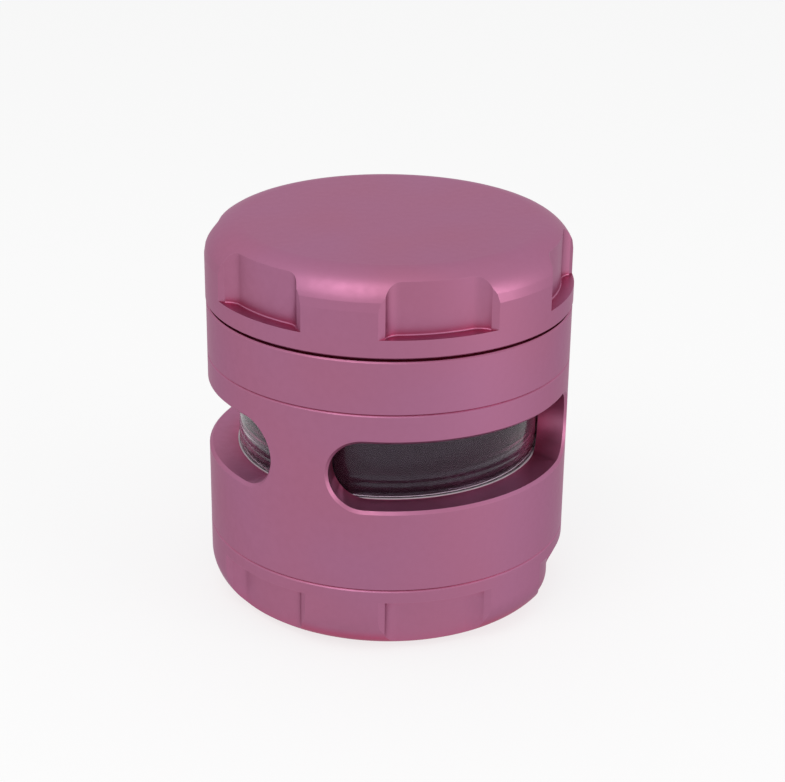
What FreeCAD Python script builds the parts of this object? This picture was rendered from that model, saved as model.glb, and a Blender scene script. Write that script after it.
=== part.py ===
import FreeCAD, Part
import math
import os

# Hand grinder for herbs and spices: four screwed and stacked aluminium sections,
# with a clear glass tube behind three windows and a fine screen under it.
# Millimetres, +Z up, origin at the centre of the flat foot. A window faces -Y.

# Glass tube and the gaskets it stands between
GLASS_BORE_R = 24.1
GLASS_WALL = 2.0
GLASS_H = 12.5
GLASS_CLEAR = 0.3
GLASS_LAP = 0.25
GLASS_EDGE = 0.4
GASKET_T = 1.0

# Screw thread, the same at both ends of the window body: ridges on a collar in a plain bore
THREAD_STEP = 2.0
THREAD_DEPTH = 0.7
THREAD_PITCH = 1.5
THREAD_CREST = 0.35
THREAD_FLANK = 0.35
THREAD_CLEAR = 0.2

# Window body
BODY_WALL = 3.0
SHELF_W = 4.0
SHELF_T = 5.2
PILLAR_W = 11.3
WINDOW_COUNT = 3
WINDOW_EDGE = 0.5
SEAM_EDGE = 0.25

# Screen under the glass
FRAME_T = 1.0
MESH_T = 0.3
MESH_LAP = 1.4
MESH_PITCH = 2.6
MESH_WIRE = 0.5

# Base cup
BASE_H = 12.2
BASE_ROUND = 6.6
BASE_FLOOR = 3.0
BASE_RIM = 2.2
BOWL_ROUND = 5.0
SPIGOT_H = 6.0
SPIGOT_WALL = 2.7
BASE_TURN = -15.65

# Grinding chamber
SKIRT_H = 3.75
FLOOR_RISE = 1.8
PLATE_T = 3.0
CUP_DEPTH = 7.4
RIM_WALL = 2.4
RIM_STEP = 3.2
HOLE_R = 2.2
HOLE_SPACING = 7.5
FRICTION_T = 1.0
FRICTION_CLEAR = 0.2

# Lid
LID_H = 13.5
LID_GAP = 0.5
LID_OVERHANG = 0.1
SHOULDER_R = 6.45
SHOULDER_SWEEP = 70.0
SHOULDER_DRAFT = 10.0
SHOULDER_TAPER = 1.5
LID_PLATE = 7.5
LID_RIM = 3.2
LIP_WALL = 2.2
LIP_CLEAR = 0.3
LID_TURN = -16.45

# Finger scoops of the lid and of the base
SCOOP_COUNT = 6
SCOOP_SPAN = 36.6
SCOOP_DEPTH = 2.3
SCOOP_CORNER = 3.0
SCOOP_EDGE = 0.7
SCOOP_FILLET = 0.25
SCOOP_LAP = 0.03

# Teeth, in rings that take turns between the lid and the chamber
TOOTH_W = 3.5
TOOTH_L = 5.2
TOOTH_GAP = 0.7
TOOTH_SPACING = 10.0
TOOTH_CLEAR = 1.2
SHANK_R = 1.2
SHANK_H = 2.0
SHANK_CLEAR = 0.02

# Hubs and their magnets
HUB_R = 6.0
MAGNET_R = 4.0
MAGNET_T = 3.0
MAGNET_GAP = 0.5
MAGNET_CLEAR = 0.05

# Radii, from the glass outwards
glass_r = GLASS_BORE_R + GLASS_WALL
seat_r = glass_r + GLASS_CLEAR
shelf_r = seat_r - SHELF_W
thread_bore_r = seat_r + THREAD_STEP
crest_r = thread_bore_r - THREAD_CLEAR
core_r = crest_r - THREAD_DEPTH
body_r = thread_bore_r + BODY_WALL
lid_r = body_r + LID_OVERHANG
bowl_r = core_r - SPIGOT_WALL
step_r = body_r - RIM_WALL
lip_r = step_r - LIP_CLEAR
cup_r = lip_r - LIP_WALL
mesh_r = shelf_r + MESH_LAP

# Heights, from the foot up
base_seam = BASE_H
spigot_top = base_seam + SPIGOT_H
shelf_low = spigot_top + GASKET_T
shelf_top = shelf_low + SHELF_T
frame_top = shelf_top + FRAME_T
glass_low = frame_top + GASKET_T
glass_top = glass_low + GLASS_H
skirt_low = glass_top + GASKET_T
body_seam = skirt_low + SKIRT_H
floor_z = body_seam + FLOOR_RISE
plate_low = floor_z - PLATE_T
rim_z = floor_z + CUP_DEPTH
step_z = rim_z - RIM_STEP
lip_low = step_z + FRICTION_T
lid_low = rim_z + LID_GAP
lid_top = lid_low + LID_H
ceiling_z = lid_top - LID_PLATE
hub_mid = (floor_z + ceiling_z) / 2

# Windows, worked out from the glass
window_low = glass_low + GLASS_LAP
window_top = glass_top - GLASS_LAP
window_mid = (window_low + window_top) / 2
window_r = (window_top - window_low) / 2
window_end = 180.0 / WINDOW_COUNT - math.degrees((PILLAR_W / 2 + window_r) / body_r)

# Rings of teeth between the hub and the cup's wall
ring_pitch = TOOTH_W + TOOTH_GAP
ring_count = int((cup_r - HUB_R - TOOTH_GAP) / ring_pitch)
ring_margin = (cup_r - HUB_R - ring_count * ring_pitch) / 2
ring_radii = [HUB_R + ring_margin + (k + 0.5) * ring_pitch for k in range(ring_count)]
lid_rings = ring_radii[0::2]
chamber_rings = ring_radii[1::2]

NEAR = 1e-4
BEYOND = 5.0
UP = FreeCAD.Vector(0, 0, 1)
CENTRE = FreeCAD.Vector(0, 0, 0)


def at(angle, radius, z=0.0):
    """Point at an angle in degrees from -Y, positive towards +X."""
    turn = math.radians(angle)
    return FreeCAD.Vector(radius * math.sin(turn), -radius * math.cos(turn), z)


def disc(radius, low, high):
    return Part.makeCylinder(radius, high - low, FreeCAD.Vector(0, 0, low))


def tube(outer, inner, low, high):
    return disc(outer, low, high).cut(disc(inner, low, high))


def turned(shape, angle):
    copy = shape.copy()
    copy.rotate(CENTRE, UP, angle)
    return copy


def rim_edges(shape, radius, z):
    """Circular edges of the given radius at the given height."""
    found = []
    for edge in shape.Edges:
        if not isinstance(edge.Curve, Part.Circle):
            continue
        if abs(edge.Curve.Radius - radius) < NEAR and abs(edge.Curve.Center.z - z) < NEAR:
            found.append(edge)
    return found


def broken(shape, radius, z, size):
    return shape.makeChamfer(size, rim_edges(shape, radius, z))


def rounded(shape, radius, z, size):
    return shape.makeFillet(size, rim_edges(shape, radius, z))


def sector(outer, inner, half_angle, low, high):
    """Piece of a tube, centred on -Y."""
    wall = Part.makeCylinder(outer, high - low, FreeCAD.Vector(0, 0, low), UP, 2 * half_angle)
    wall = wall.cut(disc(inner, low, high))
    return turned(wall, -90.0 - half_angle)


def shouldered_disc(radius, low, high):
    """Disc whose top edge is an arc, flush with the top, that runs into a short taper to the side."""
    arc_r = radius - SHOULDER_TAPER * math.tan(math.radians(SHOULDER_DRAFT))

    def on_arc(angle):
        turn = math.radians(angle)
        run = SHOULDER_R * (math.sin(math.radians(SHOULDER_SWEEP)) - math.sin(turn))
        return FreeCAD.Vector(arc_r - run, 0, high - SHOULDER_R * (1 - math.cos(turn)))
    foot = on_arc(SHOULDER_SWEEP)
    arc = Part.Arc(foot, on_arc(SHOULDER_SWEEP / 2), on_arc(0.0)).toShape()
    corners = [on_arc(0.0), FreeCAD.Vector(0, 0, high), FreeCAD.Vector(0, 0, low),
               FreeCAD.Vector(radius, 0, low), FreeCAD.Vector(radius, 0, foot.z - SHOULDER_TAPER), foot]
    outline = Part.Wire([arc] + Part.makePolygon(corners).Edges)
    return Part.Face(outline).revolve(CENTRE, UP, 360)


def threaded_collar(low, high):
    """Round collar with a row of thread ridges up its side."""
    ridge = 2 * THREAD_FLANK + THREAD_CREST
    count = int((high - low - THREAD_CLEAR) / THREAD_PITCH)
    first = (low + high - (count - 1) * THREAD_PITCH - ridge) / 2
    side = [(core_r, low)]
    for k in range(count):
        foot = first + k * THREAD_PITCH
        side.append((core_r, foot))
        side.append((crest_r, foot + THREAD_FLANK))
        side.append((crest_r, foot + THREAD_FLANK + THREAD_CREST))
        side.append((core_r, foot + ridge))
    outline = [(0, low)] + side + [(core_r, high), (0, high), (0, low)]
    points = [FreeCAD.Vector(r, 0, z) for r, z in outline]
    return Part.Face(Part.makePolygon(points)).revolve(CENTRE, UP, 360)


def mill_angle(path_r, radius):
    """Half angle that a scoop's mill clears at a radius, by its round nose or the slot behind it."""
    if radius > math.hypot(path_r, SCOOP_CORNER):
        return math.degrees(math.asin(SCOOP_CORNER / radius))
    cosine = (path_r ** 2 + radius ** 2 - SCOOP_CORNER ** 2) / (2 * path_r * radius)
    return math.degrees(math.acos(cosine))


def scoop(outer, low, high):
    """Cutter for one finger scoop: a milled pocket with a round floor and broken side edges."""
    floor_r = outer - SCOOP_DEPTH
    path_r = floor_r + SCOOP_CORNER
    open_r = path_r + BEYOND
    edge_angle = math.degrees(SCOOP_EDGE / outer)
    half = SCOOP_SPAN / 2
    cutter_angle = half - edge_angle - math.degrees(math.asin(SCOOP_CORNER / outer))
    pocket = sector(open_r, floor_r, cutter_angle, low, high)
    for side in (-1, 1):
        mill = Part.makeCylinder(SCOOP_CORNER, high - low, FreeCAD.Vector(0, -path_r, low))
        slot = Part.makeBox(2 * SCOOP_CORNER, BEYOND, high - low,
                            FreeCAD.Vector(-SCOOP_CORNER, -open_r, low))
        pocket = pocket.fuse(turned(mill.fuse(slot), side * cutter_angle))
    pocket = pocket.removeSplitter()
    pocket = pocket.makeFillet(SCOOP_FILLET, pocket_rims(pocket, (path_r + open_r) / 2, (low, high)))
    edge_r = outer - SCOOP_EDGE
    wall_angle = cutter_angle + mill_angle(path_r, edge_r) - math.degrees(SCOOP_LAP / edge_r)
    inner_angle = wall_angle - edge_angle
    for side in (-1, 1):
        corners = [at(side * wall_angle, edge_r, low),
                   at(side * (2 * half - wall_angle), outer + SCOOP_EDGE, low),
                   at(side * inner_angle, outer + SCOOP_EDGE, low),
                   at(side * inner_angle, edge_r, low)]
        bevel = Part.Face(Part.makePolygon(corners + corners[:1])).extrude(UP * (high - low))
        pocket = pocket.fuse(bevel)
    return pocket.removeSplitter()


def pocket_rims(pocket, reach, ends):
    """Edges round the ends of a scoop's cutter, without those outside the piece that it cuts."""
    found = []
    for edge in pocket.Edges:
        middle = edge.valueAt((edge.FirstParameter + edge.LastParameter) / 2)
        level = all(abs(v.Z - middle.z) < NEAR for v in edge.Vertexes)
        at_end = any(abs(middle.z - z) < NEAR for z in ends)
        if level and at_end and math.hypot(middle.x, middle.y) < reach + NEAR:
            found.append(edge)
    return found


def scooped(shape, outer, low, high, turn):
    cutter = scoop(outer, low, high)
    for k in range(SCOOP_COUNT):
        shape = shape.cut(turned(cutter, turn + k * 360.0 / SCOOP_COUNT))
    return shape


def spread(radius, spacing):
    """Angles of copies round a circle, in threes, about the given distance apart."""
    count = WINDOW_COUNT * max(1, int(2 * math.pi * radius / (WINDOW_COUNT * spacing)))
    return [(k + 0.5) * 360.0 / count for k in range(count)]


def tooth_places(rings):
    return [(radius, angle) for radius in rings for angle in spread(radius, TOOTH_SPACING)]


def tooth(radius, angle, seat, tip):
    """Diamond tooth that stands on a seat, with a round shank pressed in behind it."""
    across = TOOTH_W / 2
    along = TOOTH_L / 2
    low, high = min(seat, tip), max(seat, tip)
    corners = [FreeCAD.Vector(x, y, low) for x, y in
               ((0, -radius - across), (along, -radius), (0, across - radius), (-along, -radius))]
    blade = Part.Face(Part.makePolygon(corners + corners[:1])).extrude(UP * (high - low))
    inward = seat - SHANK_H if tip > seat else seat
    shank = Part.makeCylinder(SHANK_R, SHANK_H, FreeCAD.Vector(0, -radius, inward))
    return turned(blade.fuse(shank), angle)


def shank_holes(shape, rings, low, high):
    """Blind holes that the teeth of these rings are pressed into."""
    for radius, angle in tooth_places(rings):
        hole = Part.makeCylinder(SHANK_R + SHANK_CLEAR, high - low, at(angle, radius, low))
        shape = shape.cut(hole)
    return shape


def base():
    """Cup that catches what falls through the screen, with its threaded collar."""
    cup = disc(body_r, 0.0, base_seam)
    cup = rounded(cup, body_r, 0.0, BASE_ROUND)
    cup = broken(cup, body_r, base_seam, SEAM_EDGE)
    cup = scooped(cup, body_r, -BEYOND, base_seam - BASE_RIM, BASE_TURN)
    cup = cup.fuse(threaded_collar(base_seam, spigot_top))
    bowl = disc(bowl_r, BASE_FLOOR, spigot_top + BEYOND)
    bowl = rounded(bowl, bowl_r, BASE_FLOOR, BOWL_ROUND)
    return cup.cut(bowl).removeSplitter()


def window_cutter():
    """Slot with round ends, milled round the body from one end to the other."""
    slot = sector(body_r + BEYOND, shelf_r, window_end, window_low, window_top)
    for side in (-1, 1):
        end = Part.makeCylinder(window_r, body_r + BEYOND, FreeCAD.Vector(0, 0, window_mid),
                                FreeCAD.Vector(0, -1, 0))
        slot = slot.fuse(turned(end, side * window_end))
    return slot.removeSplitter()


def window_body():
    """Sleeve with three windows, a shelf for the screen and the glass, and a thread at each end."""
    body = disc(body_r, base_seam, body_seam)
    for z in (base_seam, body_seam):
        body = broken(body, body_r, z, SEAM_EDGE)
    cutter = window_cutter()
    for k in range(WINDOW_COUNT):
        body = body.cut(turned(cutter, k * 360.0 / WINDOW_COUNT))
    body = body.cut(disc(seat_r, shelf_top, body_seam + BEYOND))
    outline = [edge for edge in body.Edges if on_window_rim(edge)]
    body = body.makeChamfer(WINDOW_EDGE, outline)
    body = body.cut(disc(shelf_r, base_seam - BEYOND, shelf_top + BEYOND))
    body = body.cut(disc(thread_bore_r, base_seam - BEYOND, shelf_low))
    body = body.cut(disc(thread_bore_r, skirt_low - THREAD_CLEAR, body_seam + BEYOND))
    return body.removeSplitter()


def on_window_rim(edge):
    """True for an edge of a window on the outside of the sleeve."""
    middle = edge.valueAt((edge.FirstParameter + edge.LastParameter) / 2)
    outside = abs(math.hypot(middle.x, middle.y) - body_r) < NEAR
    return outside and window_low - NEAR < middle.z < window_top + NEAR


def screen_frame():
    frame = tube(glass_r, shelf_r, shelf_top, frame_top)
    return frame.cut(disc(mesh_r + MESH_WIRE / 2, frame_top - MESH_T, frame_top))


def screen_mesh():
    """Wire screen as one holed sheet, its gaps on a square grid."""
    half_gap = (MESH_PITCH - MESH_WIRE) / 2
    low = frame_top - MESH_T
    sheet = [Part.Wire(Part.makeCircle(mesh_r, FreeCAD.Vector(0, 0, low)))]
    reach = int(shelf_r / MESH_PITCH)
    for i in range(-reach, reach + 1):
        for j in range(-reach, reach + 1):
            x, y = i * MESH_PITCH, j * MESH_PITCH
            if math.hypot(abs(x) + half_gap, abs(y) + half_gap) > shelf_r:
                continue
            corners = [FreeCAD.Vector(x + sx * half_gap, y + sy * half_gap, low)
                       for sx, sy in ((-1, -1), (1, -1), (1, 1), (-1, 1))]
            sheet.append(Part.makePolygon(corners + corners[:1]))
    return Part.Face(sheet, "Part::FaceMakerBullseye").extrude(UP * MESH_T)


def glass_tube():
    glass = tube(glass_r, GLASS_BORE_R, glass_low, glass_top)
    for radius in (glass_r, GLASS_BORE_R):
        for z in (glass_low, glass_top):
            glass = rounded(glass, radius, z, GLASS_EDGE)
    return glass


def gasket(low):
    return tube(glass_r, GLASS_BORE_R, low, low + GASKET_T)


def base_gasket():
    return tube(core_r - THREAD_CLEAR, bowl_r, spigot_top, shelf_low)


def hub(low, high, magnet_low):
    """Post in the middle with a pocket for its magnet."""
    pocket = disc(MAGNET_R + MAGNET_CLEAR, magnet_low, magnet_low + MAGNET_T)
    return disc(HUB_R, low, high), pocket


def grinding_chamber():
    """Ring with the toothed and holed plate, the step for the lid and the threaded skirt."""
    ring = disc(body_r, body_seam, rim_z)
    for z in (body_seam, rim_z):
        ring = broken(ring, body_r, z, SEAM_EDGE)
    ring = ring.fuse(threaded_collar(skirt_low, body_seam))
    ring = ring.cut(disc(cup_r, floor_z, rim_z + BEYOND))
    ring = ring.cut(disc(step_r, step_z, rim_z + BEYOND))
    ring = ring.cut(disc(bowl_r, skirt_low - BEYOND, plate_low))
    top = hub_mid - MAGNET_GAP / 2
    post, pocket = hub(plate_low, top, top - MAGNET_T)
    ring = ring.fuse(post).cut(pocket)
    for radius in lid_rings:
        for angle in spread(radius, HOLE_SPACING):
            hole = Part.makeCylinder(HOLE_R, PLATE_T + 2 * NEAR, at(angle, radius, plate_low - NEAR))
            ring = ring.cut(hole)
    return shank_holes(ring, chamber_rings, floor_z - SHANK_H, floor_z).removeSplitter()


def friction_ring():
    return tube(step_r - FRICTION_CLEAR, cup_r + FRICTION_CLEAR, step_z, lip_low)


def lid():
    """Cap with a round shoulder and scoops, a lip that sits in the chamber and a toothed ceiling."""
    cap = shouldered_disc(lid_r, lid_low, lid_top)
    cap = broken(cap, lid_r, lid_low, SEAM_EDGE)
    cap = scooped(cap, lid_r, lid_low + LID_RIM, lid_top + BEYOND, LID_TURN)
    cap = cap.fuse(disc(lip_r, lip_low, lid_low + SEAM_EDGE))
    cap = cap.cut(disc(cup_r, lip_low - BEYOND, ceiling_z))
    low = hub_mid + MAGNET_GAP / 2
    post, pocket = hub(low, ceiling_z + SHANK_H, low)
    cap = cap.fuse(post).cut(pocket)
    return shank_holes(cap, lid_rings, ceiling_z, ceiling_z + SHANK_H).removeSplitter()


def chamber_teeth():
    tip = ceiling_z - TOOTH_CLEAR
    return Part.makeCompound([tooth(r, a, floor_z, tip) for r, a in tooth_places(chamber_rings)])


def lid_teeth():
    tip = floor_z + TOOTH_CLEAR
    return Part.makeCompound([tooth(r, a, ceiling_z, tip) for r, a in tooth_places(lid_rings)])


def magnet(low):
    return disc(MAGNET_R, low, low + MAGNET_T)


nodes = {
    "base": base(),
    "base_gasket": base_gasket(),
    "window_body": window_body(),
    "screen_frame": screen_frame(),
    "screen_mesh": screen_mesh(),
    "lower_glass_gasket": gasket(frame_top),
    "glass_tube": glass_tube(),
    "upper_glass_gasket": gasket(glass_top),
    "grinding_chamber": grinding_chamber(),
    "chamber_teeth": chamber_teeth(),
    "chamber_magnet": magnet(hub_mid - MAGNET_GAP / 2 - MAGNET_T),
    "friction_ring": friction_ring(),
    "lid": lid(),
    "lid_teeth": lid_teeth(),
    "lid_magnet": magnet(hub_mid + MAGNET_GAP / 2),
}

os.makedirs("parts", exist_ok=True)
for name, shape in nodes.items():
    shape.exportStep(f"parts/{name}.step")
    print(f"{name}: {len(shape.Solids)} solid(s), {shape.Volume:.1f} mm3, valid {shape.isValid()}")
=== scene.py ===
import math

import bpy
from mathutils import Matrix, Vector


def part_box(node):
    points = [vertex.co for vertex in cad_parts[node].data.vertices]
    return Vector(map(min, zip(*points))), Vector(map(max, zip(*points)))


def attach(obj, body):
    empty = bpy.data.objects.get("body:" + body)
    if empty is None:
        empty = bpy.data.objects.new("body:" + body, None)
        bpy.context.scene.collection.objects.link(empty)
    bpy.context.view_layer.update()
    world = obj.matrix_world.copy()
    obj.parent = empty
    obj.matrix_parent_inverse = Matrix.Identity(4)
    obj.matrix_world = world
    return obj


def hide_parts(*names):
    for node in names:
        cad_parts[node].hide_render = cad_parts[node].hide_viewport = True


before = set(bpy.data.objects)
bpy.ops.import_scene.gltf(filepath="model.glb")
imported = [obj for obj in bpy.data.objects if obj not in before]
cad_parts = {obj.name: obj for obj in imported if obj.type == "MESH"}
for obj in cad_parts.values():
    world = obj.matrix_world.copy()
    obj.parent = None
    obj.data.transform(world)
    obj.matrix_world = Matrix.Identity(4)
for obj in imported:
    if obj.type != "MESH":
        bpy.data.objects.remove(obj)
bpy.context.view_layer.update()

MM = 0.001
UP = Vector((0.0, 0.0, 1.0))
WHITE = (1.0, 1.0, 1.0, 1.0)

# Camera, fitted to the photo; angles in degrees
VIEW_TURN = -31.85
VIEW_RISE = 22.626
VIEW_ROLL = 0.686
VIEW_AIM = 34.95 * MM
VIEW_DISTANCE = 330.4 * MM
VIEW_LENS = 86.27
VIEW_SENSOR = 36.0
VIEW_SHIFT = (0.0056, 0.0001)
VIEW_CLIP = 0.01

# Light tent; a lamp's direction is right, nearer and up, as seen from the camera
TENT_FILL = 0.72
TENT_WALL = 1.0
TOP_LAMP = {"direction": (-0.32, 0.5, 0.8), "away": 0.6, "size": 0.4, "power": 0.9}
SIDE_LAMP = {"direction": (0.85, 0.45, 0.25), "away": 0.7, "size": 0.4, "power": 1.2}
FLOOR_SIZE = 4.0
FLOOR_GLOW = 0.75
FLOOR_PALE = (0.94, 0.94, 0.94, 1.0)
FLOOR_ROUGH = 0.9

# Noise and edge wear shared by the finishes; scales are per metre
NOISE_SPAN = (0.3, 0.7)
NOISE_ROUGH = 0.55
GRAIN_SCALES = (("Grain", 4200.0), ("Mottle", 700.0), ("Drift", 45.0))
GRAIN_DETAIL = (("Grain", 3.0), ("Mottle", 2.0), ("Drift", 1.0))
EDGE_REACH = 0.3 * MM
THIN_EDGE_REACH = 0.2 * MM
EDGE_PATCH = 900.0
EDGE_DETAIL = 2.0
EDGE_SAMPLES = 6
EDGE_BEND = (0.99, 0.8)
EDGE_BROKEN = 0.35

# Finishes: tints and roughness values are the two ends that the noise runs between, a grain holds
# the noise's scales per metre where they aren't the usual ones, a bump its strength and its depth
PINK = (0.386, 0.132, 0.228, 1.0)
MAUVE = (0.38, 0.139, 0.248, 1.0)
PINK_DRIFT = (0.35, 0.65)
PINK_ROUGH = (0.4, 0.48)
PINK_BUMP = (0.25, 0.02 * MM)
PINK_GRAZING = (0.6, 0.44, 0.54, 1.0)
PINK_COAT = 0.3
PINK_COAT_ROUGH = 0.35
WORN_PINK = (0.62, 0.36, 0.47, 1.0)
WORN_PINK_SHARE = 0.15
# painted shade in the slots and scoops: a deeper, redder pink where the walls shade each other and
# throw their colour on each other
PINK_RECESS_SHADE = (0.48, 0.06, 0.15, 1.0)
RECESS_REACH = 7.0 * MM
RECESS_SAMPLES = 8
RECESS_SPAN = (0.7, 0.35)
GLASS_GRAIN = {"Grain": 260.0, "Mottle": 1500.0, "Drift": 30.0}
GLASS_TINTS = ((0.79, 0.7, 0.77, 1.0), (0.83, 0.745, 0.81, 1.0))
GLASS_HAZE = (0.1, 0.17)
GLASS_BUMP = (0.06, 0.3 * MM)
GLASS_INDEX = 1.5
GLASS_GLINT = (0.7, 0.56, 0.7, 1.0)
SILICONE_GRAIN = {"Grain": 3000.0, "Mottle": 500.0, "Drift": 80.0}
SILICONE_TINTS = ((0.56, 0.5, 0.54, 1.0), (0.66, 0.6, 0.64, 1.0))
SILICONE_ROUGH = (0.35, 0.5)
SILICONE_BUMP = (0.1, 0.02 * MM)
STEEL_GRAIN = {"Grain": 2600.0, "Mottle": 400.0, "Drift": 90.0}
# steel tints, plain and worn, darkened with painted shade of the chamber round the screen
SHADED_STEEL_TINTS = ((0.032, 0.026, 0.03, 1.0), (0.052, 0.043, 0.05, 1.0))
STEEL_ROUGH = (0.5, 0.62)
STEEL_BUMP = (0.1, 0.01 * MM)
WORN_SHADED_STEEL = (0.085, 0.074, 0.08, 1.0)
WORN_STEEL_SHARE = 0.5
NICKEL_GRAIN = {"Grain": 1800.0, "Mottle": 300.0, "Drift": 120.0}
NICKEL_TINTS = ((0.66, 0.64, 0.6, 1.0), (0.72, 0.7, 0.66, 1.0))
NICKEL_ROUGH = (0.1, 0.24)
NICKEL_BUMP = (0.05, 0.01 * MM)
WORN_NICKEL = (0.45, 0.43, 0.4, 1.0)
WORN_NICKEL_SHARE = 0.6
POLYMER_GRAIN = {"Grain": 2200.0, "Mottle": 350.0, "Drift": 70.0}
POLYMER_TINTS = ((0.78, 0.77, 0.74, 1.0), (0.84, 0.835, 0.81, 1.0))
POLYMER_ROUGH = (0.32, 0.48)
POLYMER_BUMP = (0.1, 0.02 * MM)

# Modelling: a level face's least upward share, a tolerance, and smoothing angles in degrees
LEVEL = 0.9
HAIR = 0.001 * MM
RING_SMOOTH = 35.0
WIRE_SMOOTH = 80.0

# Turned rings
RING_SIDES = 192
POLISH_STEPS = 4

# Glass tube, with shallow waves left by the mould above its foot, drawn in quarter waves
GLASS_BORE = 24.1 * MM
GLASS_POLISH = 0.4 * MM
MOULD_START = 0.45 * MM
MOULD_PITCH = 1.45 * MM
MOULD_DEPTHS = [depth * MM for depth in (0.055, 0.06, 0.045)]
QUARTERS = 4

# Seals at the two ends of the glass
SEAL_R = 26.38 * MM
SEAL_LIP = 0.24 * MM
SEAL_LIP_RISE = 0.35 * MM
SEAL_EDGE = 0.25 * MM

# Woven screen
WIRE_PITCH = 0.36 * MM
WIRE_RADIUS = 0.1 * MM
WIRE_SIDES = 3
WIRE_WELD = WIRE_RADIUS / 10
WAVE_STEPS = 2
QUARTER_TURN = math.radians(90.0)


def towards(right, near, up):
    """Direction given as seen from the camera, level with the floor."""
    turn = math.radians(VIEW_TURN)
    along = Vector((math.cos(turn), math.sin(turn), 0.0))
    back = Vector((math.sin(turn), -math.cos(turn), 0.0))
    return along * right + back * near + UP * up


def place_camera():
    data = bpy.data.cameras.new("photo_camera")
    camera = bpy.data.objects.new("photo_camera", data)
    bpy.context.scene.collection.objects.link(camera)
    rise = math.radians(VIEW_RISE)
    away = towards(0.0, math.cos(rise), math.sin(rise))
    camera.location = UP * VIEW_AIM + away * VIEW_DISTANCE
    look = (-away).to_track_quat("-Z", "Y").to_matrix()
    roll = Matrix.Rotation(math.radians(VIEW_ROLL), 3, "Z")
    camera.rotation_euler = (look @ roll).to_euler()
    data.lens = VIEW_LENS
    data.sensor_width = VIEW_SENSOR
    data.sensor_fit = "HORIZONTAL"
    data.shift_x, data.shift_y = VIEW_SHIFT
    data.clip_start = VIEW_CLIP
    bpy.context.scene.camera = camera


def place_softbox(name, direction, away, size, power):
    data = bpy.data.lights.new(name, "AREA")
    data.shape = "SQUARE"
    data.size = size
    data.energy = power
    lamp = bpy.data.objects.new(name, data)
    bpy.context.scene.collection.objects.link(lamp)
    place = towards(*direction).normalized()
    lamp.location = UP * VIEW_AIM + place * away
    lamp.rotation_euler = (-place).to_track_quat("-Z", "Y").to_euler()


def node(tree, kind, **values):
    """Add a shader node, with plain values for its sockets by name."""
    made = tree.nodes.new(kind)
    for name, value in values.items():
        made.inputs[name.replace("_", " ")].default_value = value
    return made


def combined(tree, operation, first, second):
    """Join two values in a math node; the second may be a plain number."""
    made = tree.nodes.new("ShaderNodeMath")
    made.operation = operation
    tree.links.new(first, made.inputs[0])
    if isinstance(second, float):
        made.inputs[1].default_value = second
    else:
        tree.links.new(second, made.inputs[1])
    return made.outputs[0]


def chosen(tree, amount, first, second):
    """Mix two shaders by an amount."""
    mix = tree.nodes.new("ShaderNodeMixShader")
    tree.links.new(amount, mix.inputs["Fac"])
    tree.links.new(first.outputs[0], mix.inputs[1])
    tree.links.new(second.outputs[0], mix.inputs[2])
    return mix.outputs[0]


def ranged(tree, source, low, high, out_low, out_high):
    """Stretch a value from one range to another, clamped."""
    made = tree.nodes.new("ShaderNodeMapRange")
    made.clamp = True
    for label, value in zip(("From Min", "From Max", "To Min", "To Max"),
                            (low, high, out_low, out_high)):
        made.inputs[label].default_value = value
    tree.links.new(source, made.inputs["Value"])
    return made.outputs["Result"]


def spread(tree, noise, low=0.0, high=1.0):
    """Stretch noise, which mostly stays within its usual span, to a range."""
    return ranged(tree, noise, *NOISE_SPAN, low, high)


def mixed(tree, amount, first, second):
    """Mix two colours, each a plain tuple or a socket."""
    made = tree.nodes.new("ShaderNodeMix")
    made.data_type = "RGBA"
    tree.links.new(amount, made.inputs["Factor"])
    sockets = [s for s in made.inputs if s.type == "RGBA"]
    for socket, colour in zip(sockets, (first, second)):
        if isinstance(colour, tuple):
            socket.default_value = colour
        else:
            tree.links.new(colour, socket)
    return [s for s in made.outputs if s.type == "RGBA"][0]


def seen_directly(tree):
    """One for camera, glossy and transmission rays, zero for the rest."""
    path = tree.nodes.new("ShaderNodeLightPath")
    total = path.outputs["Is Camera Ray"]
    for other in ("Is Glossy Ray", "Is Transmission Ray"):
        total = combined(tree, "MAXIMUM", total, path.outputs[other])
    return total


def light_tent():
    world = bpy.data.worlds.new("light_tent")
    bpy.context.scene.world = world
    world.use_nodes = True
    tree = world.node_tree
    tree.nodes.clear()
    fill = node(tree, "ShaderNodeBackground", Color=WHITE, Strength=TENT_FILL)
    wall = node(tree, "ShaderNodeBackground", Color=WHITE, Strength=TENT_WALL)
    out = tree.nodes.new("ShaderNodeOutputWorld")
    tree.links.new(chosen(tree, seen_directly(tree), fill, wall), out.inputs["Surface"])


def start_material(name):
    material = bpy.data.materials.new(name)
    material.use_nodes = True
    tree = material.node_tree
    tree.nodes.clear()
    shader = tree.nodes.new("ShaderNodeBsdfPrincipled")
    out = tree.nodes.new("ShaderNodeOutputMaterial")
    tree.links.new(shader.outputs[0], out.inputs["Surface"])
    return material, tree, shader


def group_of(name, inputs, outputs):
    """Empty shader node group with named float inputs and outputs."""
    tree = bpy.data.node_groups.new(name, "ShaderNodeTree")
    for label, value in inputs:
        socket = tree.interface.new_socket(label, in_out="INPUT", socket_type="NodeSocketFloat")
        socket.default_value = value
    for label in outputs:
        tree.interface.new_socket(label, in_out="OUTPUT", socket_type="NodeSocketFloat")
    return tree, tree.nodes.new("NodeGroupInput"), tree.nodes.new("NodeGroupOutput")


def use_group(tree, group, **values):
    made = tree.nodes.new("ShaderNodeGroup")
    made.node_tree = group
    for label, value in values.items():
        made.inputs[label].default_value = value
    return made


def object_noise(tree, scale, **values):
    """Noise on the piece's own coordinates, with its scale from a socket."""
    coords = tree.nodes.new("ShaderNodeTexCoord")
    noise = node(tree, "ShaderNodeTexNoise", **values)
    tree.links.new(coords.outputs["Object"], noise.inputs["Vector"])
    tree.links.new(scale, noise.inputs["Scale"])
    return noise.outputs["Fac"]


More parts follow.
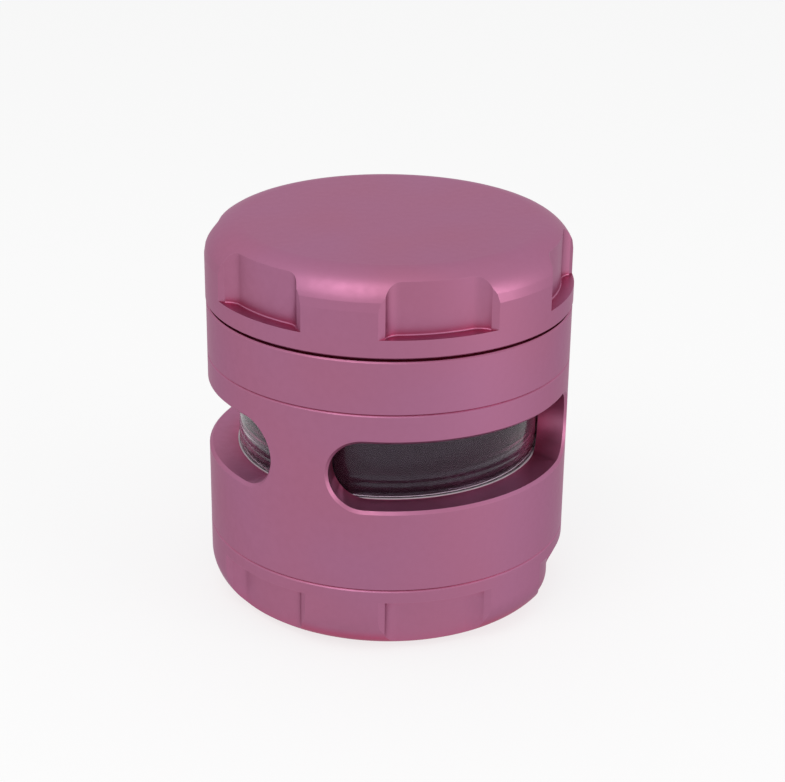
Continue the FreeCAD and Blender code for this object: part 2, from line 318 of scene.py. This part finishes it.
def grain_group():
    """Fine blasted grain, a coarser mottle and a slow drift over the whole piece."""
    tree, given, result = group_of("blasted_grain", GRAIN_SCALES, ("Height", "Mottle", "Drift"))
    results = {"Grain": "Height", "Mottle": "Mottle", "Drift": "Drift"}
    for label, detail in GRAIN_DETAIL:
        noise = object_noise(tree, given.outputs[label], Detail=detail, Roughness=NOISE_ROUGH)
        tree.links.new(noise, result.inputs[results[label]])
    return tree


def wear_group():
    """Mask of the sharp edges, broken up a little."""
    sizes = (("Reach", EDGE_REACH), ("Patch", EDGE_PATCH))
    tree, given, result = group_of("worn_edge", sizes, ("Edge",))
    bevel = tree.nodes.new("ShaderNodeBevel")
    bevel.samples = EDGE_SAMPLES
    tree.links.new(given.outputs["Reach"], bevel.inputs["Radius"])
    shape = tree.nodes.new("ShaderNodeNewGeometry")
    dot = tree.nodes.new("ShaderNodeVectorMath")
    dot.operation = "DOT_PRODUCT"
    tree.links.new(bevel.outputs["Normal"], dot.inputs[0])
    tree.links.new(shape.outputs["Normal"], dot.inputs[1])
    edge = ranged(tree, dot.outputs["Value"], *EDGE_BEND, 0.0, 1.0)
    noise = object_noise(tree, given.outputs["Patch"], Detail=EDGE_DETAIL)
    patch = spread(tree, noise, EDGE_BROKEN)
    tree.links.new(combined(tree, "MULTIPLY", edge, patch), result.inputs["Edge"])
    return tree


def rubbed(tree, wear, plain, worn, share, **values):
    """Let a worn colour through at the edges, up to a share."""
    edge = use_group(tree, wear, **values)
    amount = ranged(tree, edge.outputs["Edge"], 0.0, 1.0, 0.0, share)
    return mixed(tree, amount, plain, worn)


def dress(tree, shader, colour, rough):
    tree.links.new(colour, shader.inputs["Base Color"])
    tree.links.new(rough, shader.inputs["Roughness"])


def bumped(tree, shader, height, strength, distance):
    bump = node(tree, "ShaderNodeBump", Strength=strength, Distance=distance)
    tree.links.new(height, bump.inputs["Height"])
    tree.links.new(bump.outputs["Normal"], shader.inputs["Normal"])


def anodised_pink(grain, wear):
    """Bead-blasted aluminium under a sealed oxide skin that holds the pink dye, with painted shade
    in its recesses.
    """
    material, tree, shader = start_material("anodised_pink")
    skin = use_group(tree, grain)
    drift = ranged(tree, skin.outputs["Drift"], *PINK_DRIFT, 0.0, 1.0)
    # painted shade: the pink turns deeper and redder where the piece's own walls close round it
    recess_shade = node(tree, "ShaderNodeAmbientOcclusion", Distance=RECESS_REACH)
    recess_shade.samples = RECESS_SAMPLES
    shade_amount = ranged(tree, recess_shade.outputs["AO"], *RECESS_SPAN, 0.0, 1.0)
    dyed_and_shaded = mixed(tree, shade_amount, mixed(tree, drift, PINK, MAUVE), PINK_RECESS_SHADE)
    colour = rubbed(tree, wear, dyed_and_shaded, WORN_PINK, WORN_PINK_SHARE)
    dress(tree, shader, colour, spread(tree, skin.outputs["Mottle"], *PINK_ROUGH))
    shader.inputs["Metallic"].default_value = 1.0
    shader.inputs["Specular Tint"].default_value = PINK_GRAZING
    shader.inputs["Coat Weight"].default_value = PINK_COAT
    shader.inputs["Coat Roughness"].default_value = PINK_COAT_ROUGH
    bumped(tree, shader, skin.outputs["Height"], *PINK_BUMP)
    return material


def clear_glass(grain):
    """Clear glass with a slight haze, so that what lies behind it looks soft."""
    material, tree, shader = start_material("clear_glass")
    skin = use_group(tree, grain, **GLASS_GRAIN)
    colour = mixed(tree, spread(tree, skin.outputs["Drift"]), *GLASS_TINTS)
    dress(tree, shader, colour, spread(tree, skin.outputs["Mottle"], *GLASS_HAZE))
    shader.inputs["Metallic"].default_value = 0.0
    shader.inputs["Transmission Weight"].default_value = 1.0
    shader.inputs["IOR"].default_value = GLASS_INDEX
    shader.inputs["Specular Tint"].default_value = GLASS_GLINT
    bumped(tree, shader, skin.outputs["Height"], *GLASS_BUMP)
    return material


def pale_silicone(grain):
    material, tree, shader = start_material("pale_silicone")
    skin = use_group(tree, grain, **SILICONE_GRAIN)
    colour = mixed(tree, spread(tree, skin.outputs["Mottle"]), *SILICONE_TINTS)
    dress(tree, shader, colour, spread(tree, skin.outputs["Drift"], *SILICONE_ROUGH))
    bumped(tree, shader, skin.outputs["Height"], *SILICONE_BUMP)
    return material


def shaded_steel(grain, wear):
    """Dull steel, darkened with painted shade of the chamber round the screen, as the screen looks
    behind the glass.
    """
    material, tree, shader = start_material("shaded_steel")
    skin = use_group(tree, grain, **STEEL_GRAIN)
    plain = mixed(tree, spread(tree, skin.outputs["Drift"]), *SHADED_STEEL_TINTS)
    colour = rubbed(tree, wear, plain, WORN_SHADED_STEEL, WORN_STEEL_SHARE, Reach=THIN_EDGE_REACH)
    dress(tree, shader, colour, spread(tree, skin.outputs["Mottle"], *STEEL_ROUGH))
    shader.inputs["Metallic"].default_value = 1.0
    bumped(tree, shader, skin.outputs["Height"], *STEEL_BUMP)
    return material


def nickel_plate(grain, wear):
    material, tree, shader = start_material("nickel_plate")
    skin = use_group(tree, grain, **NICKEL_GRAIN)
    plain = mixed(tree, spread(tree, skin.outputs["Mottle"]), *NICKEL_TINTS)
    colour = rubbed(tree, wear, plain, WORN_NICKEL, WORN_NICKEL_SHARE, Reach=THIN_EDGE_REACH)
    dress(tree, shader, colour, spread(tree, skin.outputs["Drift"], *NICKEL_ROUGH))
    shader.inputs["Metallic"].default_value = 1.0
    bumped(tree, shader, skin.outputs["Height"], *NICKEL_BUMP)
    return material


def white_polymer(grain):
    material, tree, shader = start_material("white_polymer")
    skin = use_group(tree, grain, **POLYMER_GRAIN)
    colour = mixed(tree, spread(tree, skin.outputs["Drift"]), *POLYMER_TINTS)
    dress(tree, shader, colour, spread(tree, skin.outputs["Mottle"], *POLYMER_ROUGH))
    bumped(tree, shader, skin.outputs["Height"], *POLYMER_BUMP)
    return material


def table_white():
    """Pale table top that looks almost as white as the tent, and keeps a soft shadow."""
    material, tree, shader = start_material("table_white")
    shader.inputs["Base Color"].default_value = FLOOR_PALE
    shader.inputs["Roughness"].default_value = FLOOR_ROUGH
    shader.inputs["Specular IOR Level"].default_value = 0.0
    glow = node(tree, "ShaderNodeEmission", Color=WHITE, Strength=1.0)
    share = combined(tree, "MULTIPLY", seen_directly(tree), FLOOR_GLOW)
    out = next(made for made in tree.nodes if made.type == "OUTPUT_MATERIAL")
    tree.links.new(chosen(tree, share, shader, glow), out.inputs["Surface"])
    return material


def lay_floor(material):
    bpy.ops.mesh.primitive_plane_add(size=FLOOR_SIZE, location=(0, 0, 0))
    floor = bpy.context.object
    floor.name = "table_top"
    floor.data.materials.append(material)


def finish_node(name, material):
    """Give a piece of the frame its finish."""
    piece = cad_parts[name]
    if not piece.material_slots:
        piece.data.materials.append(material)
    for slot in piece.material_slots:
        slot.material = material


def stand_for(piece, cad_node, body, material):
    """Put a new piece in the place of a piece of the frame."""
    piece.data.materials.clear()
    piece.data.materials.append(material)
    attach(piece, body)
    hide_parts(cad_node)


def radius_of(place):
    return math.hypot(place.x, place.y)


def pick(piece, kind, test):
    """Go into edit mode with just those faces, edges or points selected that pass a test."""
    bpy.ops.object.mode_set(mode="EDIT")
    bpy.ops.mesh.select_mode(type=kind)
    bpy.ops.mesh.select_all(action="DESELECT")
    bpy.ops.object.mode_set(mode="OBJECT")
    mesh = piece.data
    for element in {"FACE": mesh.polygons, "EDGE": mesh.edges, "VERT": mesh.vertices}[kind]:
        element.select = test(element)
    bpy.ops.object.mode_set(mode="EDIT")


def smoothed(piece, angle):
    """Leave edit mode and shade a piece smooth, but for edges sharper than an angle."""
    bpy.ops.object.mode_set(mode="OBJECT")
    bpy.ops.object.shade_smooth_by_angle(angle=math.radians(angle))
    return piece


def bored_cylinder(name, inner, outer, low, high):
    """Cylinder between two heights, with a bore through it."""
    bpy.ops.object.select_all(action="DESELECT")
    bpy.ops.mesh.primitive_cylinder_add(vertices=RING_SIDES, radius=outer, depth=high - low,
                                        location=(0, 0, (low + high) / 2))
    ring = bpy.context.object
    ring.name = name
    bpy.ops.object.transform_apply(location=True, rotation=True, scale=True)
    pick(ring, "FACE", lambda face: abs(face.normal.z) > LEVEL)
    bpy.ops.mesh.inset(thickness=outer - inner, use_individual=True)
    bpy.ops.mesh.bridge_edge_loops()
    return ring


def turned_ring(name, inner, outer, low, high, edge):
    """Ring with its four rims rounded."""
    ring = bored_cylinder(name, inner, outer, low, high)

    def on_rim(side):
        a, b = (ring.data.vertices[i].co for i in side.vertices)
        return abs(a.z - b.z) < edge and abs(radius_of(a) - radius_of(b)) < edge

    pick(ring, "EDGE", on_rim)
    bpy.ops.mesh.bevel(offset=edge, offset_type="OFFSET", segments=POLISH_STEPS, affect="EDGES")
    return smoothed(ring, RING_SMOOTH)


def ring_like(cad_node, name, inner, edge):
    """Turned ring in the place of a ring of the frame."""
    low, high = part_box(cad_node)
    return turned_ring(name, inner, high.x, low.z, high.z, edge)


def scale_loop(piece, height, inside, outside, factor):
    """Widen or narrow the points of a turned piece that lie at one height, between two radii."""
    pick(piece, "VERT", lambda point: abs(point.co.z - height) < HAIR
         and inside < radius_of(point.co) < outside)
    bpy.ops.transform.resize(value=(factor, factor, 1.0), center_override=(0, 0, 0))
    bpy.ops.object.mode_set(mode="OBJECT")


def mould_waves(foot):
    """Heights of the quarter waves above the glass's foot, each with the wall's swell there."""
    return [(foot + MOULD_START + (wave + part / QUARTERS) * MOULD_PITCH,
             depth * math.sin(2 * math.pi * part / QUARTERS))
            for wave, depth in enumerate(MOULD_DEPTHS) for part in range(QUARTERS)]


def clear_tube():
    """Glass tube with polished rims and shallow mould waves above its foot."""
    low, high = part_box("glass_tube")
    tube = turned_ring("clear_tube", GLASS_BORE, high.x, low.z, high.z, GLASS_POLISH)
    waves = mould_waves(low.z)
    bpy.ops.object.mode_set(mode="EDIT")
    for height, _ in waves:
        bpy.ops.mesh.select_all(action="SELECT")
        bpy.ops.mesh.bisect(plane_co=(0, 0, height), plane_no=UP)
    bpy.ops.object.mode_set(mode="OBJECT")
    middle = (GLASS_BORE + high.x) / 2
    for height, swell in waves:
        scale_loop(tube, height, middle, 2 * high.x, (high.x + swell) / high.x)
        scale_loop(tube, height, 0.0, middle, (GLASS_BORE - swell) / GLASS_BORE)
    return smoothed(tube, RING_SMOOTH)


def foot_seal():
    """Seal under the foot of the glass: a flat ring with a thin lip up its outside."""
    low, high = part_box("lower_glass_gasket")
    seal = bored_cylinder("lower_seal", GLASS_BORE, SEAL_R, low.z, high.z)
    pick(seal, "FACE", lambda face: face.normal.z > LEVEL)
    bpy.ops.mesh.inset(thickness=SEAL_LIP)
    pick(seal, "FACE", lambda face: face.normal.z > LEVEL
         and radius_of(face.center) > SEAL_R - SEAL_LIP)
    bpy.ops.mesh.extrude_region_move(TRANSFORM_OT_translate={"value": (0, 0, SEAL_LIP_RISE)})
    bpy.ops.mesh.select_all(action="SELECT")
    bpy.ops.mesh.normals_make_consistent(inside=False)
    return smoothed(seal, RING_SMOOTH)


def wavy_wire(name, offset, start_up, across):
    """One wire of the weave over two pitches, drawn out step by step over and under."""
    bpy.ops.object.select_all(action="DESELECT")
    bpy.ops.mesh.primitive_circle_add(vertices=WIRE_SIDES, radius=WIRE_RADIUS, fill_type="NOTHING",
                                      rotation=(0, QUARTER_TURN, 0))
    wire = bpy.context.object
    wire.name = name
    bpy.ops.object.transform_apply(location=False, rotation=True, scale=False)
    bpy.ops.object.mode_set(mode="EDIT")
    bpy.ops.mesh.select_all(action="SELECT")
    heights = [math.cos(2 * math.pi * k / WAVE_STEPS) for k in range(WAVE_STEPS + 1)]
    lift = WIRE_RADIUS * (1.0 if start_up else -1.0)
    bpy.ops.transform.translate(value=(0, offset, lift * heights[0]))
    step = 2 * WIRE_PITCH / WAVE_STEPS
    for before, after in zip(heights, heights[1:]):
        rise = lift * (after - before)
        bpy.ops.mesh.extrude_region_move(TRANSFORM_OT_translate={"value": (step, 0, rise)})
    bpy.ops.object.mode_set(mode="OBJECT")
    if across:
        bpy.ops.transform.rotate(value=QUARTER_TURN, orient_axis="Z", center_override=(0, 0, 0))
        bpy.ops.object.transform_apply(location=True, rotation=True, scale=True)
    return wire


def woven_screen():
    """Plain weave of wire, trimmed to the rebate of its frame."""
    low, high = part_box("screen_mesh")
    reach = high.x
    wires = [wavy_wire("weft_a", 0.0, True, False), wavy_wire("weft_b", WIRE_PITCH, False, False),
             wavy_wire("warp_a", 0.0, False, True), wavy_wire("warp_b", WIRE_PITCH, True, True)]
    bpy.ops.object.select_all(action="DESELECT")
    for wire in wires:
        wire.select_set(True)
    bpy.context.view_layer.objects.active = wires[0]
    bpy.ops.object.join()
    screen = bpy.context.object
    screen.name = "woven_screen"
    cell = 2 * WIRE_PITCH
    count = int(2 * reach / cell) + 2
    for label, way in (("along", 0), ("across", 1)):
        rows = screen.modifiers.new(label, "ARRAY")
        rows.count = count
        rows.use_relative_offset = False
        rows.use_constant_offset = True
        rows.constant_offset_displace = [cell if k == way else 0.0 for k in range(3)]
        rows.use_merge_vertices = True
        rows.merge_threshold = WIRE_WELD
        bpy.ops.object.modifier_apply(modifier=label)
    places = [point.co for point in screen.data.vertices]
    centre_x = (min(p.x for p in places) + max(p.x for p in places)) / 2
    centre_y = (min(p.y for p in places) + max(p.y for p in places)) / 2
    bpy.ops.object.mode_set(mode="EDIT")
    bpy.ops.mesh.select_all(action="SELECT")
    bpy.ops.transform.translate(value=(-centre_x, -centre_y, (low.z + high.z) / 2))
    pick(screen, "VERT", lambda point: radius_of(point.co) > reach)
    bpy.ops.mesh.delete(type="VERT")
    bpy.ops.mesh.select_all(action="SELECT")
    bpy.ops.mesh.fill_holes(sides=2 * WIRE_SIDES)
    bpy.ops.mesh.select_all(action="SELECT")
    bpy.ops.mesh.normals_make_consistent(inside=False)
    return smoothed(screen, WIRE_SMOOTH)


grain = grain_group()
wear = wear_group()
pink = anodised_pink(grain, wear)
glass = clear_glass(grain)
silicone = pale_silicone(grain)
steel = shaded_steel(grain, wear)
nickel = nickel_plate(grain, wear)
polymer = white_polymer(grain)

for material, names in (
        (pink, ("base", "window_body", "grinding_chamber", "chamber_teeth", "lid", "lid_teeth")),
        (silicone, ("base_gasket", "lower_glass_gasket", "upper_glass_gasket")),
        (steel, ("screen_frame", "screen_mesh")),
        (nickel, ("chamber_magnet", "lid_magnet")),
        (glass, ("glass_tube",)),
        (polymer, ("friction_ring",))):
    for name in names:
        finish_node(name, material)

stand_for(clear_tube(), "glass_tube", "body", glass)
stand_for(foot_seal(), "lower_glass_gasket", "body", silicone)
stand_for(ring_like("upper_glass_gasket", "upper_seal", GLASS_BORE, SEAL_EDGE),
          "upper_glass_gasket", "chamber_seal", silicone)
stand_for(woven_screen(), "screen_mesh", "body", steel)

lay_floor(table_white())
light_tent()
place_softbox("top_softbox", **TOP_LAMP)
place_softbox("side_softbox", **SIDE_LAMP)
place_camera()
bpy.context.scene.view_settings.view_transform = "Standard"
